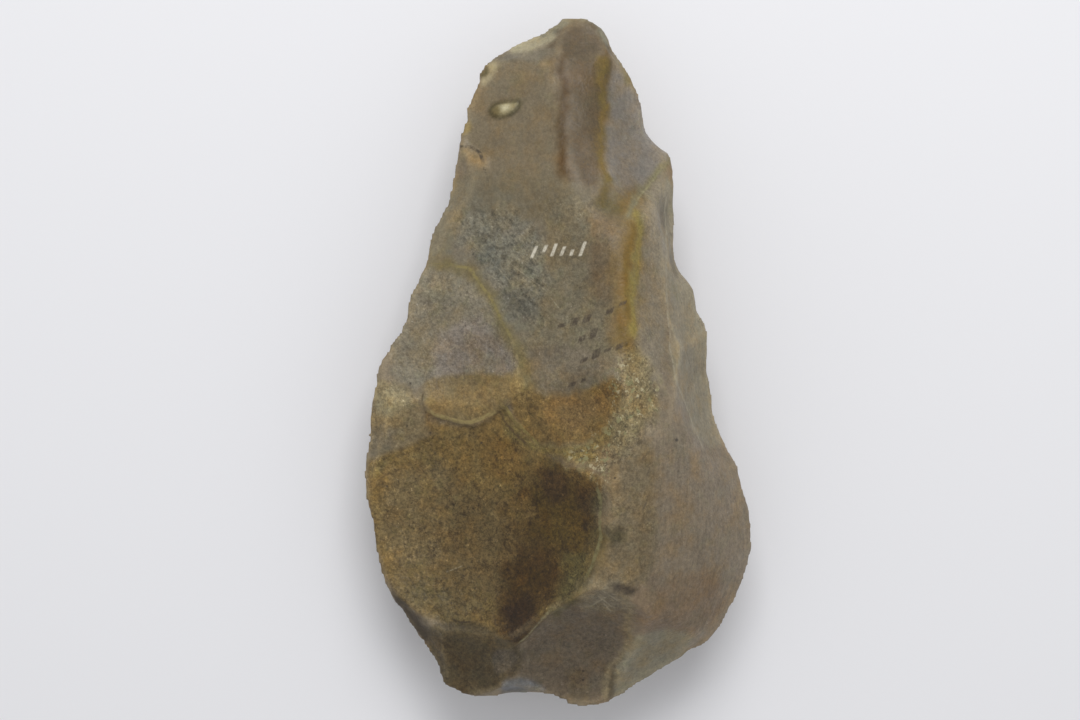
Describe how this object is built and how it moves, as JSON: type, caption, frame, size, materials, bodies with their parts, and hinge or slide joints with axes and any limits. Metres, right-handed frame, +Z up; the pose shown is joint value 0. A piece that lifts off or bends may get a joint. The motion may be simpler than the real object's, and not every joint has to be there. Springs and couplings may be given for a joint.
{
  "type": "flint hand axe",
  "caption": "Pear-shaped flint hand axe flaked on both faces, with a blunt tip, a broad rounded butt and a sharp edge all round.",
  "frame": {"origin": "on the bed it lies on, under the middle of the stone", "axes": "+Y from the butt to the tip, +Z up out of the upper face, +X to the right seen from above with the tip away from you"},
  "size_m": [0.1012, 0.1798, 0.0517],
  "materials": {
    "flint": "satin flint with a brown, ochre and grey patina"
  },
  "bodies": {
    "root": {"flint_axe": "flint"}
  },
  "joints": []
}
